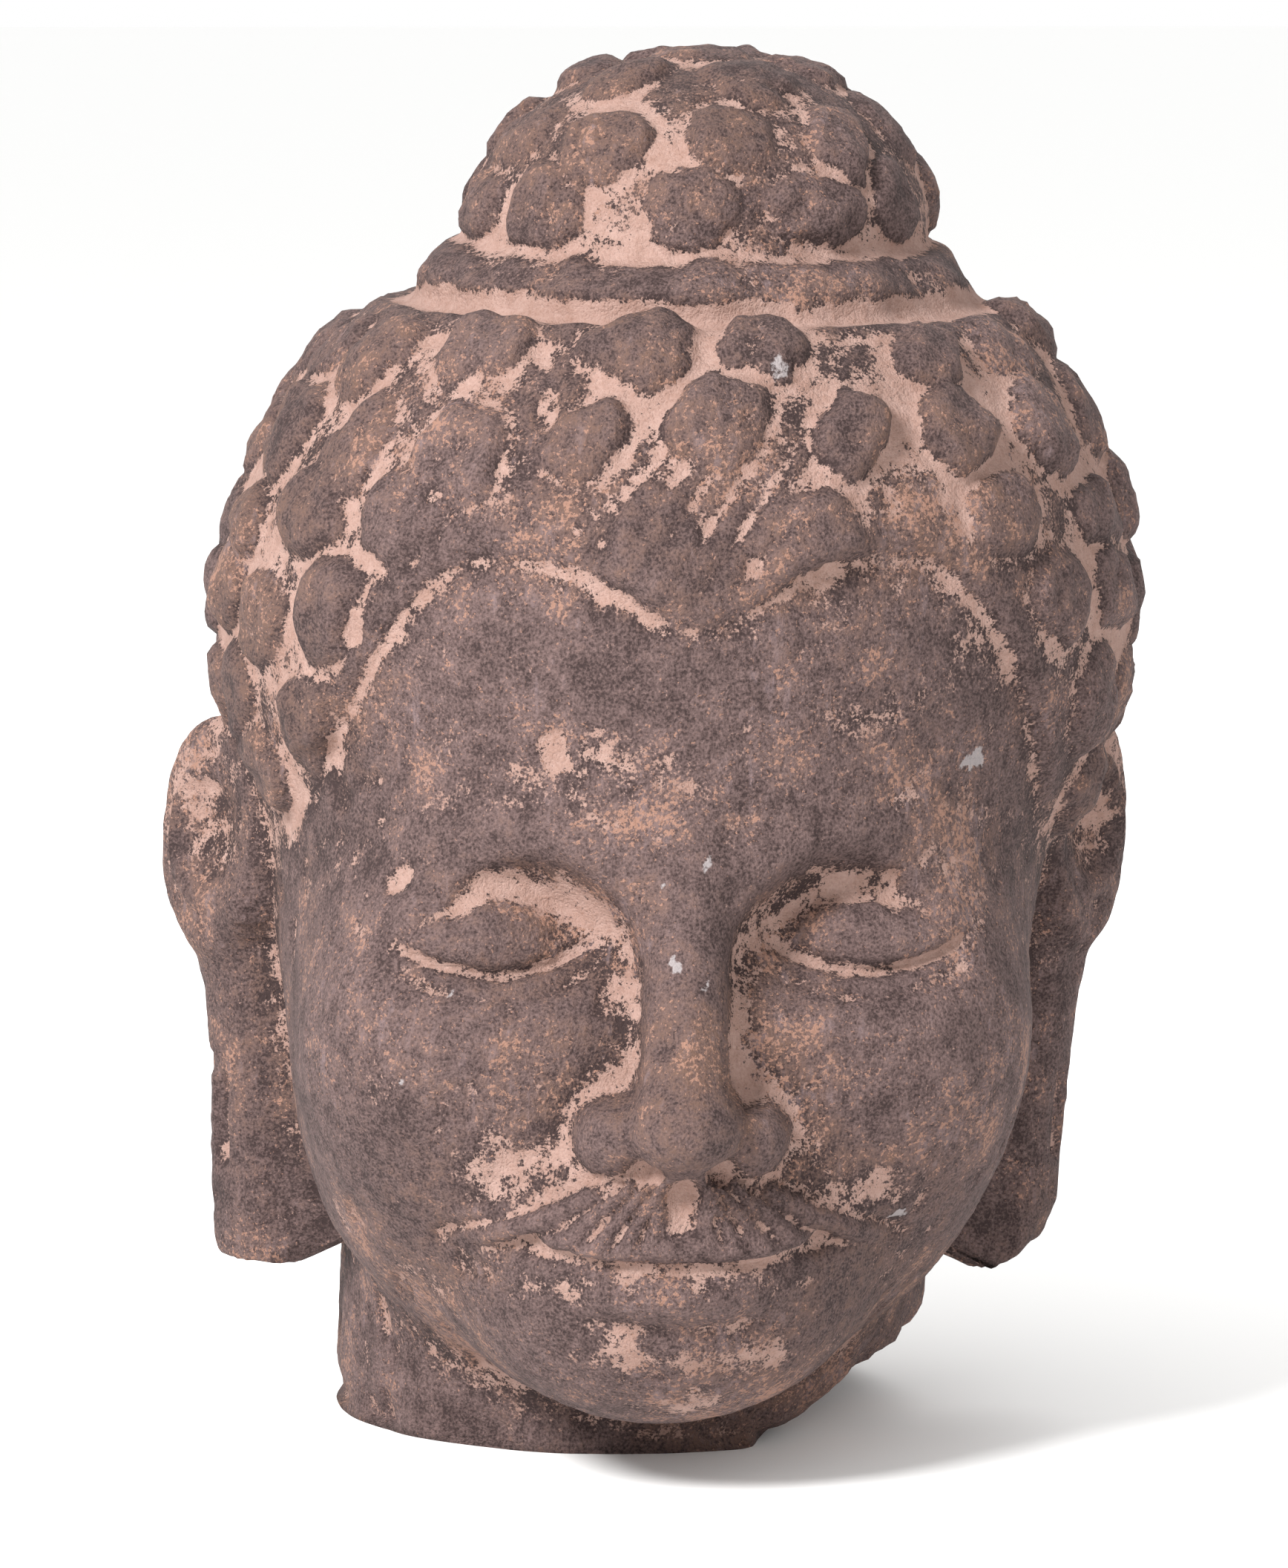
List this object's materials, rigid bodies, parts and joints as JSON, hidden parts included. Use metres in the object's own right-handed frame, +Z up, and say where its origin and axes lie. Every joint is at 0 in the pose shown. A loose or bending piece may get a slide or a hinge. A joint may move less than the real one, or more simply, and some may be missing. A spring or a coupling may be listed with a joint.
{
  "type": "stone buddha head",
  "caption": "Carved stone buddha head with curled hair, a topknot tied by a band, long ears and a moustache, broken off at the neck.",
  "frame": {"origin": "on the flat underside of the neck, below the middle of the head", "axes": "+Z up along the head, face towards -Y, +X towards the head's own left ear"},
  "size_m": [0.1702, 0.1889, 0.24],
  "materials": {
    "stone": "matt weathered stone: dark grey-brown patina on the raised surfaces, salmon pink stone in the grooves"
  },
  "bodies": {
    "root": {"buddha_head": "stone"}
  },
  "joints": []
}
